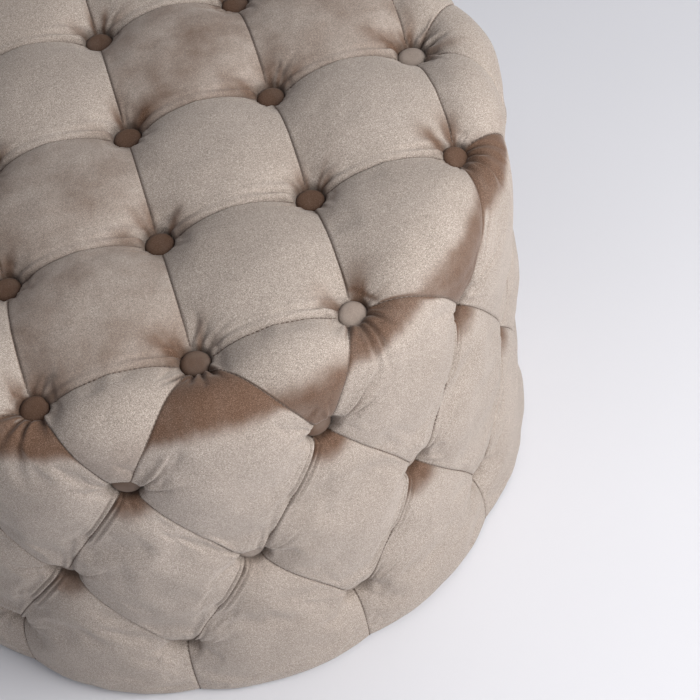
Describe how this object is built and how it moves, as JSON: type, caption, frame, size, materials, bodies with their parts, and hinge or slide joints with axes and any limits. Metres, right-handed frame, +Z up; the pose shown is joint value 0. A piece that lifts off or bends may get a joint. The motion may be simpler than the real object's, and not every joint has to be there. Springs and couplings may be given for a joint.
{
  "type": "round tufted pouf",
  "caption": "Round upholstered pouf with deep-buttoned velvet pillows on its seat and side, foam over a timber drum, and flat glides underneath.",
  "frame": {"origin": "on the floor under the pouf's centre", "axes": "+Z up through the seat's middle button; +X and +Y along the seat's square grid of buttons, so both lie on a column of the side's middle row"},
  "size_m": [0.604, 0.604, 0.4013],
  "materials": {
    "velvet": "champagne taupe velvet, deep buttoned",
    "button_velvet": "the same velvet drawn tight over button blanks, with twine",
    "foam": "pale open-cell upholstery foam",
    "plywood": "unfinished plywood",
    "hardboard": "bare brown hardboard",
    "timber": "sawn softwood",
    "steel": "zinc-plated wood screws",
    "plastic": "black moulded glides",
    "cloth": "black non-woven dust cloth"
  },
  "bodies": {
    "root": {"tufted_cover": "velvet", "seat_foam": "foam", "side_foam": "foam", "seat_board": "plywood", "base_ring": "plywood", "drum_wall": "hardboard", "dust_cloth": "cloth", "seat_button_01": "button_velvet", "seat_button_02": "button_velvet", "seat_button_03": "button_velvet", "seat_button_04": "button_velvet", "seat_button_05": "button_velvet", "seat_button_06": "button_velvet", "seat_button_07": "button_velvet", "seat_button_08": "button_velvet", "seat_button_09": "button_velvet", "seat_button_10": "button_velvet", "seat_button_11": "button_velvet", "seat_button_12": "button_velvet", "seat_button_13": "button_velvet", "seat_button_14": "button_velvet", "seat_button_15": "button_velvet", "seat_button_16": "button_velvet", "seat_button_17": "button_velvet", "seat_button_18": "button_velvet", "seat_button_19": "button_velvet", "seat_button_20": "button_velvet", "seat_button_21": "button_velvet", "side_button_string_01": "button_velvet", "side_button_string_02": "button_velvet", "side_button_string_03": "button_velvet", "side_button_string_04": "button_velvet", "side_button_string_05": "button_velvet", "side_button_string_06": "button_velvet", "side_button_string_07": "button_velvet", "side_button_string_08": "button_velvet", "side_button_string_09": "button_velvet", "side_button_string_10": "button_velvet", "side_button_string_11": "button_velvet", "side_button_string_12": "button_velvet", "post_1": "timber", "board_screw_1": "steel", "base_screw_1": "steel", "glide_1": "plastic", "post_2": "timber", "board_screw_2": "steel", "base_screw_2": "steel", "glide_2": "plastic", "post_3": "timber", "board_screw_3": "steel", "base_screw_3": "steel", "glide_3": "plastic", "post_4": "timber", "board_screw_4": "steel", "base_screw_4": "steel", "glide_4": "plastic"}
  },
  "joints": []
}
